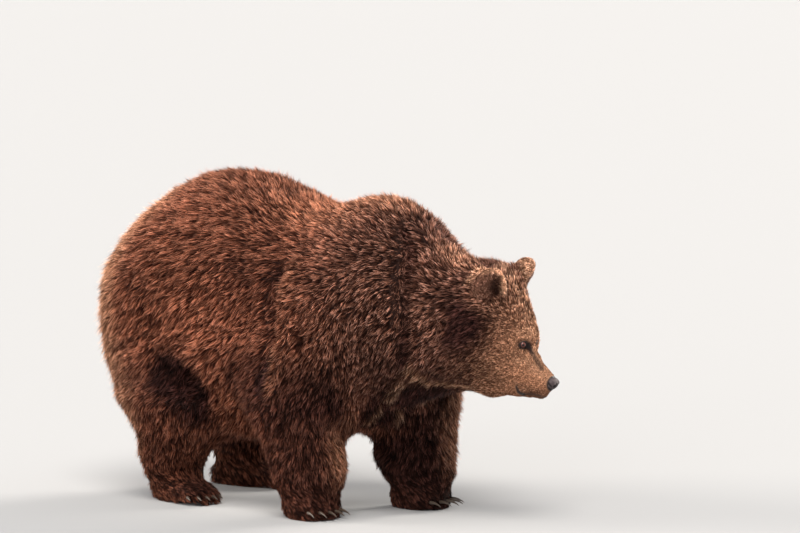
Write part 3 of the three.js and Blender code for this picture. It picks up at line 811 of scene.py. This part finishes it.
def markings(p, n, parts):
    local, out = toHead(p), n @ headTurn
    (x, y, z), (ahead, aside, up), (headX, _, headZ) = p.T, n.T, local.T
    isLow = isPart(parts, "leg_lower", "paw")
    isLeg = isLow | isPart(parts, "leg_upper")
    isHead = isPart(parts, "head", "lower_jaw")
    # First mask: the legs' own darker hair, and painted shade in creases, hollows, under the body and on
    # upward-facing fur
    darkHairAndShade = np.where(isLow, 0.62, 0.0)
    darkHairAndShade += np.where(isPart(parts, "leg_upper"), 0.8 * ramp(z, 0.64, 0.30), 0)
    darkHairAndShade += (0.3 * ramp(x, -0.1, 0.2) - 0.12) * isLeg
    darkHairAndShade += 0.5 * ramp(x, 0.2, 0.4) * ramp(z, 0.66, 0.45) * ~isHead
    darkHairAndShade += 0.35 * isHead * ramp(headX, 0.11, -0.02) * ramp(headZ, 0.08, -0.03)
    # Painted shade under the belly, between the legs
    darkHairAndShade += np.where(isLeg, 0.15, 0.25) * ramp(np.abs(y), 0.18, 0.08) * ramp(z, 0.5, 0.3)
    # Second mask: the face's golden hair, and painted rim light on top lines, fringes, the rump's rear and
    # the legs' fronts
    goldHairAndLitRim = np.where(isHead, 1 - ramp(distance(local, head["nose"]), 0.10, 0.40), 0.0)
    # Painted rim light: a golden line along the top edge of back and neck; painted shade on the rump's top
    # and on other upward-facing fur
    onTop = ramp(up, 0.72, 0.93) * ~isHead
    goldHairAndLitRim += (0.1 + 0.2 * ramp(x, -0.1, 0.3)) * onTop
    darkHairAndShade += 0.4 * onTop * ramp(x, 0.0, -0.2)
    darkHairAndShade += 0.3 * ramp(up, 0.05, 0.5) * (1 - onTop) * ~isHead
    darkHairAndShade += 0.2 * ramp(up, 0.75, 0.4) * ramp(np.abs(x + 0.02), 0.2, 0.08) * (z > 0.4)
    for middle, reach, amount in shadePatches:
        for flip in (1, -1):
            near = distance(p, onSide(middle, flip) * mm) / (reach * mm)
            darkHairAndShade += amount * (1 - ramp(near, 0.3, 1.0))
    pale = np.zeros(len(p))

    def gild(where, gold, less):  # golden colour in place of dark: golden hair, and painted rim light
        raiseTo(goldHairAndLitRim, gold * where)
        np.multiply(darkHairAndShade, 1 - less * where, out=darkHairAndShade)

    # Pale, golden fringes: partly pale hair, partly painted rim light
    for line, reach, _, _, amount in fringes:
        for d, _ in nearBoth(p, line):
            near = ramp(d, reach * mm, 0.3 * reach * mm)
            pale += 0.65 * amount * near
            gild(near, 1.6 * amount, 0.6)
    # Painted rim light on the rear of the rump
    behind = ramp(-ahead, 0.1, 0.6) * ramp(-x, 0.35, 0.6) * ramp(z, 0.0, 0.3)
    gild(behind, 0.85, 0.6)
    pale += 0.12 * behind
    # Painted rim light along the legs' front edges
    front = isLeg * ramp(ahead + 0.7 * aside, 0.6, 1.15)
    gild(front * ramp(x, 0.0, 0.1) * ramp(z, 0.04, 0.2), 0.6, 0.6)
    # Painted shade under the neck and chest, between the forelegs
    under = ramp(x, 0.15, 0.28) * ramp(np.abs(y), 0.13, 0.07) * ramp(z, 0.46, 0.39)
    darkHairAndShade += 1.2 * under * ramp(-up + ahead, 0.3, 0.9) * ~isHead
    # Painted shadow in the crease in front of the thigh
    for d, _ in nearBoth(p, thighCrease):
        darkHairAndShade += ramp(d, 0.095, 0.02)

    # Ears: painted rim light round their outlines and along the edge, stronger on the right ear
    for name, side in sides.items():
        reach = distance(local, onSide(head["earRoot"], side))
        isEar = isPart(parts, f"ear_{name}")
        rim = np.zeros(len(p))
        for flip in {-1, side}:
            amount = 0.3 if flip < side else 0.1
            raiseTo(rim, amount * earLitRim(local, isEar, side, flip) * ramp(reach, 0.035, 0.055))
        edge, along = nearLine(sidePlace(local, "eye", side)[:, :2], head["earEdge"])
        lit = (0.95 - 0.6 * ramp(along, 0.3, 0.75)) * ramp(edge, 0.012, 0.004)
        raiseTo(rim, lit * ramp(reach, 0.03, 0.05))
        darkHairAndShade += 0.28 * ramp(edge, 0.04, 0.01) * ~isEar * ramp(facingSide(out, side), -0.3, 0.1)
        pale = np.where(isEar, 0.05 + (0.9 if side < 0 else 0.5) * rim, pale)
        # Painted shade in the ear's hollow
        e = sidePlace(local, "earHollow", side)
        inEar = np.hypot((e[:, 0] - 0.002) / 0.0165, (e[:, 1] + 0.004) / 0.032)
        darkHairAndShade += isEar * 0.9 * (ramp(inEar, 1.3, 0.8) * ramp(e[:, 2], -0.03, -0.02))

    # Painted shade in the forehead's furrow
    furrow, _ = nearLine(local, head["furrow"])
    darkHairAndShade += isHead * 0.55 * ramp(furrow, 0.007, 0.002)
    darkHairAndShade += isHead * 0.3 * ramp(headX, 0.1, 0.02) * ramp(headZ, 0.03, -0.06)
    raiseTo(pale, 0.36 * isHead * ramp(headX, 0.09, 0.14) * ramp(out[:, 2], 0.2, 0.8))  # top of the muzzle
    raiseTo(pale, 0.5 * isHead * ramp(headX, 0.06, 0.11) * ramp(headZ, -0.04, -0.005))
    dark = np.zeros(len(p))
    for side in bothSides:
        f = sidePlace(local, "eye", side)[:, :2]
        facing = facingSide(out, side)
        mine = isHead * ramp(facing, -0.3, 0.0)
        # Painted highlight on the ridges beside the furrow
        ridge, _ = nearLine(local, [(a, 15 * side, c + 4) for a, _, c in head["furrow"]])
        raiseTo(pale, isHead * 0.3 * ramp(ridge, 0.016, 0.004) * ramp(furrow, 0.005, 0.011))
        darkHairAndShade += 0.24 * ramp(distance(f, *faceSpots["cheek"]), 1.3, 0.0) * ramp(facing, 0.0, 0.4)
        lips, curl, upperLip = (nearLine(f, head[line])[0] for line in ("lips", "curl", "upperLip"))
        darkHairAndShade += mine * 0.4 * ramp(lips, 0.012, 0.004) * (f[:, 1] < -0.136)
        raiseTo(dark, 0.6 * mine * ramp(lips, 0.0036, 0.0014))
        raiseTo(dark, 0.95 * mine * ramp(curl, 0.007, 0.0025) * ramp(-f[:, 1], 0.108, 0.124))
        raiseTo(dark, 0.3 * mine * ramp(upperLip, 0.007, 0.002))
        # Pale lip corner: partly the lip's flesh, partly a painted wet reflection
        flesh = mine * ramp(distance(f, *faceSpots["mouthFleshAndGlint"]), 1.2, 0.7)
        raiseTo(pale, 0.55 * flesh)
        dark *= 1 - 0.8 * flesh
        # Dark round the eye: the lids' own dark skin, and painted shade of the deep socket and brow
        around = distance(f, *faceSpots["lids"][side])
        raiseTo(dark, mine * ramp(around, 1.2, 0.95))
        darkHairAndShade += mine * (0.8 if side < 0 else 0.4) * ramp(around, 1.7, 1.1)
        # Streak from the eye's inner corner down the muzzle: dark brown hair, and painted shade along its
        # groove
        streak, along = nearLine(f, head["streak"])
        darkHairAndShade += mine * 1.3 * ramp(streak, 0.0095, 0.004)
        raiseTo(dark, 0.7 * mine * ramp(streak, 0.005, 0.002) * (1 - 0.75 * ramp(along, 0.1, 0.6)))
    raiseTo(dark, isPart(parts, "paw") * ramp(-up, 0.55, 0.8) * ramp(z, 0.03, 0.012))  # soles
    raiseTo(dark, ramp(distance(local, head["nose"], (0.0235, 0.0255, 0.0205)), 1.16, 1.02))
    return np.clip(np.stack([darkHairAndShade, goldHairAndLitRim, ramp(x, 0.05, 0.40), pale, dark], 1), 0, 1)


skinMarks = markings(skinPoints, skinNormals, fleshPart)
soft = spread(skinMarks, skinPairs, 10)
onBody = ramp(distance(toHead(skinPoints), skinSettings["headMiddle"]), 0.17, 0.24)[:, None]
skinMarks[:, :3] = soft[:, :3] * onBody + (1 - onBody) * spread(skinMarks[:, :3], skinPairs, 1)
# Painted shade in the folds and a painted highlight on the crest
for line, reach, _, shade in bodyFolds:
    for d, along in nearBoth(skinPoints, line):
        near = ramp(d, 0.85 * reach * mm, 0.3 * reach * mm)
        near *= 0.4 + 0.6 * np.sin(np.pi * np.clip(along, 0.1, 0.9))
        skinMarks[:, 0] += shade * near
        skinMarks[:, 1] += max(0, -shade) * near
skinMarks = np.clip(skinMarks, 0, 1)
for column, name in enumerate(markingNames):
    setMask(skin.data, name, skinMarks[:, column])
# Painted shade: the skin is darkened where long locks lie over it
setMask(skin.data, "shadeUnderCoat", 0.9 * ramp(coatSize[:, 2], 10, 28))
print("lay of the coat and markings set")


# Growing the coat
coat = {
    "share": 1.0,
    "bodyClump": 0.013,
    "headClump": 0.0075,
    "clumpPull": 0.6,
    "guardShare": 0.26,  # finer hairs that stand out of the rest
    "guardRise": (1.0, 1.65),
    "otherRise": (0.55, 0.95),
    "lengths": (0.7, 1.15),
    "widths": (0.7, 1.25),
    "sway": 0.20,  # in waves over the body
    "clumpTurn": 0.4,
    "stray": (0.11, 0.07),  # of each lock, and more where the neck is brown
    "curve": 0.07,
    "rootDepth": 0.07,
    "middle": 0.46,  # how far along a lock its widest place is
    "arch": 1.35,
    "crown": 0.8,
    "mapPatch": 0.003,
    "overFloor": 0.6 * mm,
}
coatPieces = {f"coat_rump_{side}": ("trunk", "tail") for side in sides}
coatPieces |= {f"coat_side_{side}": ("trunk",) for side in sides}
coatPieces["coat_neck"] = ("neck",)
coatPieces |= {f"coat_head_{side}": ("head", "lower_jaw", f"ear_{side}") for side in sides}
for kind in kinds:
    parts = [kind + part for part in ("leg_upper_", "leg_lower_", "paw_")]
    coatPieces |= {f"coat_{kind}_{side}": [part + side for part in parts] for side in sides}
rumpEnd = -0.05


def pieceOfFaces(corners):  # which coat piece each triangle of the skin belongs to
    middle = skinPoints[corners].mean(1)
    part = fleshPart[corners[:, 0]]
    piece = np.full(len(corners), -1)
    for number, (name, nodes) in enumerate(coatPieces.items()):
        mine = isPart(part, *nodes)
        if "trunk" in nodes:
            mine &= (middle[:, 1] < 0) == name.endswith("right")
            mine &= (middle[:, 0] < rumpEnd) == ("rump" in name)
        if "head" in nodes:
            mine &= (toHead(middle)[:, 1] < 0) == name.endswith("right")
        piece[mine] = number
    return piece


unwrap = {"angle_limit": math.radians(66), "island_margin": 0.004, "scale_to_bounds": True}


def unwrapPieces(skin, faceOfTriangle, piece):  # each coat piece gets its own unwrap of its stretch of skin
    mesh = skin.data
    mesh.uv_layers.new(name="rootPlace")
    owner = np.full(len(mesh.polygons), -1)
    owner[faceOfTriangle] = piece
    for number in range(len(coatPieces)):
        editFaces(skin, owner == number, bpy.ops.uv.smart_project, **unwrap)
    uv = readRows(mesh.uv_layers["rootPlace"].data, "uv", 2)
    mesh.uv_layers.remove(mesh.uv_layers["rootPlace"])
    return uv


def triangles(mesh):  # their points, their corners and the face each lies in
    mesh.calc_loop_triangles()
    rows = (("vertices", 3), ("loops", 3), ("polygon_index", 1))
    return [readRows(mesh.loop_triangles, name, width, np.int32) for name, width in rows]


def blendCorners(values, corners, weights):
    return (values[corners] * weights[:, :, None]).sum(1)


def clumpTargets(root, spacing, draw):  # the clump each lock leans into
    order = draw.permutation(len(root))
    cell = np.floor(root[order] / spacing).astype(int)
    first = np.unique(cell, axis=0, return_index=True)[1]
    middles = root[order[first]]
    tree = KDTree(len(middles))
    for n, m in enumerate(middles):
        tree.insert(m, n)
    tree.balance()
    return np.array([order[first[tree.find(r)[1]]] for r in root])


def growPiece(name, number, corners, loops, piece, mapPlaces):
    draw = np.random.default_rng(100 + number)
    mine = np.flatnonzero(piece == number)
    a, b, c = (skinPoints[corners[mine, k]] for k in range(3))
    area = np.linalg.norm(np.cross(b - a, c - a), axis=1) / 2
    wanted = area * 1e4 * coatSize[corners[mine], 4].mean(1) * coat["share"]
    wanted *= 1 - ramp(skinMarks[corners[mine], 4].max(1), 0.35, 0.6)
    total = np.cumsum(wanted)
    at = np.arange(int(total[-1])) + draw.random(int(total[-1]))
    face = mine[np.searchsorted(total, at[at < total[-1]])]
    u, v = draw.random((2, len(face)))
    fold = u + v > 1
    u, v = np.where(fold, 1 - u, u), np.where(fold, 1 - v, v)
    weights = np.stack([1 - u - v, u, v], 1)
    here = corners[face]
    fields = (skinPoints, skinNormals, skinWays, coatSize, skinMarks)
    root, normal, way, size, marks = (blendCorners(values, here, weights) for values in fields)
    normal = unit(normal)
    way = flatTo(way, normal)
    place = blendCorners(mapPlaces, loops[face], weights)
    count = len(root)

    rise, length, width = size[:, 1] * mm, size[:, 2] * mm, size[:, 3] * mm
    long = ramp(length, 0.012, 0.04)
    leader = clumpTargets(root, coat["headClump"] if "head" in name else coat["bodyClump"], draw)
    clump = draw.random((count, 3))[leader]
    sway = coat["sway"] * waves(root, 0.34, 5) * long
    sway += coat["sway"] * waves(root, 0.08, 6) * (0.4 + 0.6 * long)
    stray = draw.normal(0, 1, count) * (coat["stray"][0] + coat["stray"][1] * marks[:, 2])
    way = turnAbout(way, normal, sway + (clump[:, 1] - 0.5) * coat["clumpTurn"] * long + stray)
    guard = draw.random(count) < coat["guardShare"]
    length = length * draw.uniform(*coat["lengths"], count) * (1 + 0.14 * waves(root, 0.16, 8))
    length *= 1 + 0.12 * guard
    width = width * draw.uniform(*coat["widths"], count) * (1 - 0.5 * guard)
    guardRise, otherRise = (draw.uniform(*coat[key], count) for key in ("guardRise", "otherRise"))
    height = rise * np.where(guard, guardRise, otherRise)
    height *= 0.82 + 0.36 * clump[:, 2]
    tipLift = np.arcsin(np.clip(height / np.maximum(length, 1e-4), 0.08, 0.9))
    lift = np.where(guard, tipLift, tipLift * coat["arch"]) + draw.normal(0, 0.05, count)
    across = np.cross(normal, way)
    bend = (draw.normal(0, coat["curve"], count) * length * long)[:, None] * across

    def raised(angle):
        return way * np.cos(angle)[:, None] + normal * np.sin(angle)[:, None]

    middle = root + bend + coat["middle"] * length[:, None] * raised(lift)
    tip = root + length[:, None] * raised(tipLift)

    pull = coat["clumpPull"] * (0.65 + 0.35 * long) * draw.uniform(0.5, 1.3, count)
    tip = tip + (tip[leader] - tip) * (pull * 0.9)[:, None]
    middle = middle + (middle[leader] - middle) * (pull * 0.35)[:, None]
    ofClump = np.interp(length, (0.006, 0.012, 0.024, 0.04), (0.15, 0.42, 0.55, 0.46))
    # locks that stand lower are darker and higher ones paler: painted shade among the locks
    tone = ofClump * clump[:, 0] + (1 - ofClump) * draw.random(count) + 0.3 * (height / rise - 0.86) * long
    # painted rim light: the ear locks are paler at the rim
    tone += 0.24 * isPart(fleshPart[here[:, 0]], "ear_") * marks[:, 3]

    base = root - normal * (coat["rootDepth"] * length)[:, None]
    ridge = unit(np.cross(unit(middle - base), across))
    w = (width * 0.5)[:, None]
    top = middle + ridge * w * coat["crown"]
    verts = np.stack([base, middle - across * w, middle + across * w, top, tip], 1)
    verts[:, :, 2] = np.maximum(verts[:, :, 2], coat["overFloor"])
    faces = np.array([(0, 2, 1), (0, 1, 3), (0, 3, 2), (4, 1, 2), (4, 3, 1), (4, 2, 3)])
    allFaces = (faces[None] + 5 * np.arange(count)[:, None, None]).reshape(-1)
    faceCount = len(allFaces) // 3
    mesh = bpy.data.meshes.new(name)
    mesh.vertices.add(count * 5)
    mesh.vertices.foreach_set("co", verts.astype(np.float32).ravel())
    mesh.loops.add(len(allFaces))
    mesh.loops.foreach_set("vertex_index", allFaces.astype(np.int32))
    mesh.polygons.add(faceCount)
    mesh.polygons.foreach_set("loop_start", np.arange(0, len(allFaces), 3, dtype=np.int32))
    mesh.polygons.foreach_set("loop_total", np.full(faceCount, 3, np.int32))
    mesh.polygons.foreach_set("use_smooth", np.ones(faceCount, bool))

    offset = np.array([(0, -0.5), (-0.4, 0), (0.4, 0), (0, 0.1), (0, 0.5)])
    patch = coat["mapPatch"]
    place = np.clip(place, patch, 1 - patch)
    tuftMap = (place[:, None] + offset * patch).reshape(-1, 2)
    mesh.uv_layers.new(name="OFBake").data.foreach_set("uv", tuftMap[allFaces].astype(np.float32).ravel())
    setMask(mesh, "tuftTip", np.tile((0, coat["middle"], coat["middle"], 0.5, 1), count))
    setMask(mesh, "tuftTone", np.repeat(tone, 5))
    setMask(mesh, "tuftAcross", np.tile((0, -1, 1, 0, 0), count))
    for column, mark in enumerate(markingNames):
        setMask(mesh, mark, np.repeat(marks[:, column], 5))
    mesh.update(calc_edges=True)
    piece = newObject(name, mesh)
    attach(piece, "root")
    print(name, count, "locks,", faceCount, "faces")
    return piece


corners, loopCorners, faceOfTriangle = triangles(skin.data)
faceOfTriangle = faceOfTriangle[:, 0]
pieceOf = pieceOfFaces(corners)
mapPlaces = unwrapPieces(skin, faceOfTriangle, pieceOf)
coats = [growPiece(name, k, corners, loopCorners, pieceOf, mapPlaces) for k, name in enumerate(coatPieces)]
for obj in (skin, *claws):  # nothing goes under the floor
    p = points(obj)
    p[:, 2] = np.maximum(p[:, 2], 0)
    movePoints(obj, p)
shadeSmooth(skin)


# Materials
def newMaterial(name, objs):  # on the pieces at once, and its nodes are added to it
    material = bpy.data.materials.new(name)
    material.use_nodes = True
    for obj in objs:
        obj.data.materials.clear()
        obj.data.materials.append(material)
    return material.node_tree, material.node_tree.nodes["Principled BSDF"]


def setInputs(node, inputs):  # plain values are set, and outputs of other nodes are linked
    for key, value in inputs.items():
        if isinstance(value, bpy.types.NodeSocket):
            node.id_data.links.new(value, node.inputs[key])
        else:
            node.inputs[key].default_value = value


def addNode(tree, kind, inputs=None, **settings):
    node = tree.nodes.new(kind)
    for key, value in settings.items():
        setattr(node, key, value)
    setInputs(node, inputs or {})
    return node


def mathNode(tree, operation, a, b=0.0, c=0.0, clamp=False):
    settings = {"operation": operation, "use_clamp": clamp}
    return addNode(tree, "ShaderNodeMath", {0: a, 1: b, 2: c}, **settings).outputs[0]


def scaled(tree, value, factor, plus):
    return mathNode(tree, "MULTIPLY_ADD", value, factor, plus)


def mixNode(tree, share, a, b, blend="MIX"):
    settings = {"data_type": "RGBA", "blend_type": blend}
    return addNode(tree, "ShaderNodeMix", {0: share, 6: a, 7: b}, **settings).outputs[2]


def multiplied(tree, color, other):
    return mixNode(tree, 1.0, color, other, "MULTIPLY")


def grey(tree, value):
    return addNode(tree, "ShaderNodeCombineColor", {0: value, 1: value, 2: value}).outputs[0]


def readMask(tree, name):
    return addNode(tree, "ShaderNodeAttribute", attribute_name=name).outputs["Fac"]


def objectPlace(tree):
    return addNode(tree, "ShaderNodeTexCoord").outputs["Object"]


def noise(tree, place, scale, detail, distortion=0.0):
    inputs = {"Vector": place, "Scale": scale, "Detail": detail, "Distortion": distortion}
    return addNode(tree, "ShaderNodeTexNoise", inputs).outputs["Fac"]


def bumped(tree, height, strength, depth):
    inputs = {"Height": height, "Strength": strength, "Distance": depth}
    return addNode(tree, "ShaderNodeBump", inputs).outputs["Normal"]


def colorRamp(tree, value, *stops):
    node = addNode(tree, "ShaderNodeValToRGB", {0: value})
    bands = node.color_ramp
    for element, (at, color) in zip(bands.elements, (stops[0], stops[-1])):
        element.position = at
        element.color = (*color, 1)
    for at, color in stops[1:-1]:
        bands.elements.new(at).color = (*color, 1)
    return node.outputs["Color"]


# gold and rim serve both for pale hair and for painted rim light; leg serves both for dark legs and for
# painted shade
coatColors = {
    "rump": (0.235, 0.080, 0.043, 1),
    "neck": (0.195, 0.085, 0.055, 1),
    "leg": (0.036, 0.0125, 0.0095, 1),
    "gold": (0.420, 0.198, 0.110, 1),
    "rim": (0.62, 0.34, 0.205, 1),
    "bareSkin": (0.022, 0.016, 0.015, 1),
}


def makeMarkingGroup():  # the bear's colouring with its painted shade and painted rim light, shared by skin and coat
    tree = bpy.data.node_groups.new("bearMarkings", "ShaderNodeTree")
    for label, kind in (("Color", "NodeSocketColor"), ("Dark", "NodeSocketFloat")):
        tree.interface.new_socket(label, in_out="OUTPUT", socket_type=kind)
    place = objectPlace(tree)
    color = coatColors["rump"]
    for mask, other in (("neckBrown", "neck"), ("goldHairAndLitRim", "gold"), ("darkHairAndShade", "leg"), ("paleHairAndLitRim", "rim")):
        color = mixNode(tree, readMask(tree, mask), color, coatColors[other])
    for scale, factor, plus in ((3.2, 1.1, 0.45), (17.0, 0.9, 0.55)):  # broad and fine mottling
        value = scaled(tree, noise(tree, place, scale, 3.0), factor, plus)
        color = multiplied(tree, color, grey(tree, value))
    dark = readMask(tree, "darkSkin")
    color = mixNode(tree, dark, color, coatColors["bareSkin"])
    setInputs(tree.nodes.new("NodeGroupOutput"), {"Color": color, "Dark": dark})
    return tree


markingGroup = makeMarkingGroup()


def addMarkings(tree):
    return addNode(tree, "ShaderNodeGroup", node_tree=markingGroup).outputs


def dressCoats():
    tree, shader = newMaterial("coat_locks", coats)
    tip = readMask(tree, "tuftTip")
    tone = readMask(tree, "tuftTone")
    rootToTip = colorRamp(
        tree, tip,
        (0, (0.15, 0.085, 0.07)), (0.46, (0.50, 0.43, 0.40)), (0.7, (0.9, 0.9, 0.9)), (1, (1.85, 2.2, 2.5)),
    )
    lockTone = colorRamp(
        tree, tone, (0.14, (0.11, 0.06, 0.04)), (0.5, (0.58, 0.56, 0.55)), (0.9, (3.0, 3.2, 3.3))
    )
    inputs = {0: readMask(tree, "tuftAcross"), 1: tip, 2: mathNode(tree, "MULTIPLY", tone, 40.0)}
    strand = addNode(tree, "ShaderNodeCombineXYZ", inputs).outputs[0]  # each lock has its own hairs
    hairs = colorRamp(tree, noise(tree, strand, 2.6, 1.0), (0.3, (0.45, 0.42, 0.4)), (0.7, (1.5, 1.5, 1.5)))
    color = addMarkings(tree)["Color"]
    for shade in (rootToTip, lockTone, hairs):
        color = multiplied(tree, color, shade)
    # Painted highlights broken along the curling hair, fewer on gold and dark hair and towards the rear
    curlGlints = colorRamp(
        tree, noise(tree, objectPlace(tree), 85.0, 2.0),
        (0.36, (0.42, 0.36, 0.33)), (0.5, (0.95, 0.95, 0.95)), (0.64, (1.5, 1.55, 1.6)),
    )
    shaded = mathNode(tree, "MULTIPLY", readMask(tree, "darkHairAndShade"), 0.6)
    calm = mathNode(tree, "MAXIMUM", readMask(tree, "goldHairAndLitRim"), shaded)
    inFront = scaled(tree, readMask(tree, "neckBrown"), 0.55, 0.45)
    share = mathNode(tree, "MULTIPLY", scaled(tree, calm, -0.9, 1.0), inFront)
    color = mixNode(tree, share, color, multiplied(tree, color, curlGlints))
    setInputs(shader, {"Base Color": color, "Roughness": 0.6, "Specular IOR Level": 0.05})


def dressSkin():
    tree, shader = newMaterial("skin_under_coat", [skin])
    marks = addMarkings(tree)
    hair = noise(tree, objectPlace(tree), 420.0, 4.0, 0.6)
    color = multiplied(tree, marks["Color"], grey(tree, scaled(tree, hair, 1.5, -0.05)))
    # painted shade under the long locks
    color = mixNode(tree, readMask(tree, "shadeUnderCoat"), color, (0.012, 0.005, 0.004, 1))
    setInputs(shader, {
        "Base Color": color,
        "Roughness": scaled(tree, marks["Dark"], -0.42, 0.85),
        "Normal": bumped(tree, hair, 0.6, 1.5 * mm),
        "Specular IOR Level": 0.15,
    })


def dressEyes():
    tree, shader = newMaterial("wet_eye", eyes)
    share = mathNode(tree, "DIVIDE", readMask(tree, "fromPupil"), 60.0, clamp=True)
    color = colorRamp(  # pupil, iris and dark rim
        tree, share, (0, (0.008, 0.005, 0.005)), (0.22, (0.012, 0.007, 0.007)), (0.36, (0.105, 0.036, 0.028)),
        (0.66, (0.125, 0.045, 0.036)), (0.82, (0.014, 0.008, 0.007)), (1, (0.016, 0.009, 0.008)),
    )
    setInputs(shader, {"Base Color": color, "Roughness": 0.16, "Specular IOR Level": 0.28})


def dressNose():
    tree, shader = newMaterial("nose_leather", [nose])
    place = objectPlace(tree)
    cells = addNode(tree, "ShaderNodeTexVoronoi", {"Vector": place, "Scale": 620.0}).outputs["Distance"]
    wear = noise(tree, place, 90.0, 3.0)
    color = mixNode(tree, wear, (0.018, 0.013, 0.014, 1), (0.095, 0.066, 0.068, 1))
    # painted shade in the nostrils
    color = mixNode(tree, readMask(tree, "nostril"), color, (0.006, 0.004, 0.004, 1))
    setInputs(shader, {
        "Base Color": color,
        "Roughness": scaled(tree, wear, 0.25, 0.42),
        "Normal": bumped(tree, cells, 0.5, 0.6 * mm),
        "Specular IOR Level": 0.2,
    })


def dressClaws():
    tree, shader = newMaterial("claw_horn", claws)
    streaks = noise(tree, objectPlace(tree), 160.0, 4.0)
    color = mixNode(tree, streaks, (0.018, 0.013, 0.011, 1), (0.085, 0.058, 0.040, 1))
    normal = bumped(tree, streaks, 0.3, 0.6 * mm)
    setInputs(shader, {"Base Color": color, "Roughness": 0.38, "Normal": normal})


for dress in (dressCoats, dressSkin, dressEyes, dressNose, dressClaws):
    dress()
print("materials made")


# Floor, light and camera
stageSettings = {
    "floorSize": 400,
    "floorColor": (0.33, 0.332, 0.34, 1),
    "sky": (0.95, 0.97, 1.0, 1),
    "skyStrength": 0.62,
}
view = {
    "azimuth": 45,
    "elevation": 5,
    "distance": 16,
    "lens": 237.6,
    "aim": (0.315, 0.717),  # right of the world's middle and up, in the picture's plane
    "frameShift": (-0.14956, 0.00356, 0),  # from the stance's middle to the footprint's
}
lights = [  # soft and far off: name, place it shines from, strength, softness in degrees, colour
    ("key", (2.2, -2.2, 3.9), 3.8, 28, (1.0, 0.95, 0.88)),
    ("back_rim", (0.6, 4.8, 1.8), 4.6, 22, (1.0, 0.93, 0.84)),
    ("rear_rim", (-4.0, -3.0, 1.7), 3.4, 32, (1.0, 0.93, 0.84)),
    ("front_fill", (2.2, -5.0, 1.6), 1.35, 40, (0.97, 0.98, 1.0)),
]


def addFloor():
    deselectAll()
    bpy.ops.mesh.primitive_plane_add(size=stageSettings["floorSize"], location=(0, 0, 0))
    floor = active()
    floor.name = "studio_floor"
    _, shader = newMaterial("studio_floor", [floor])
    setInputs(shader, {"Base Color": stageSettings["floorColor"], "Roughness": 0.9})


def addLight(name, place, strength, softness, color):
    data = bpy.data.lights.new(name, "SUN")
    data.energy = strength
    data.angle = math.radians(softness)
    data.color = color
    lamp = newObject(name, data)
    lamp.location = place
    lamp.rotation_euler = (-Vector(place)).to_track_quat("-Z", "Y").to_euler()


def addCamera():
    turn = Euler((math.radians(90 - view["elevation"]), 0, math.radians(view["azimuth"])))
    data = bpy.data.cameras.new("camera")
    data.lens = view["lens"]
    data.sensor_width = 36
    data.clip_end = 500
    camera = newObject("camera", data)
    camera.location = turn.to_matrix() @ Vector((*view["aim"], view["distance"])) + Vector(view["frameShift"])
    camera.rotation_euler = turn
    bpy.context.scene.camera = camera


def addSky():
    world = bpy.data.worlds.new("sky")
    world.use_nodes = True
    background = world.node_tree.nodes["Background"]
    setInputs(background, {"Color": stageSettings["sky"], "Strength": stageSettings["skyStrength"]})
    bpy.context.scene.world = world


addFloor()
addSky()
addCamera()
for light in lights:
    addLight(*light)
bpy.context.scene.view_settings.view_transform = "Standard"
print("floor, lights and camera placed")
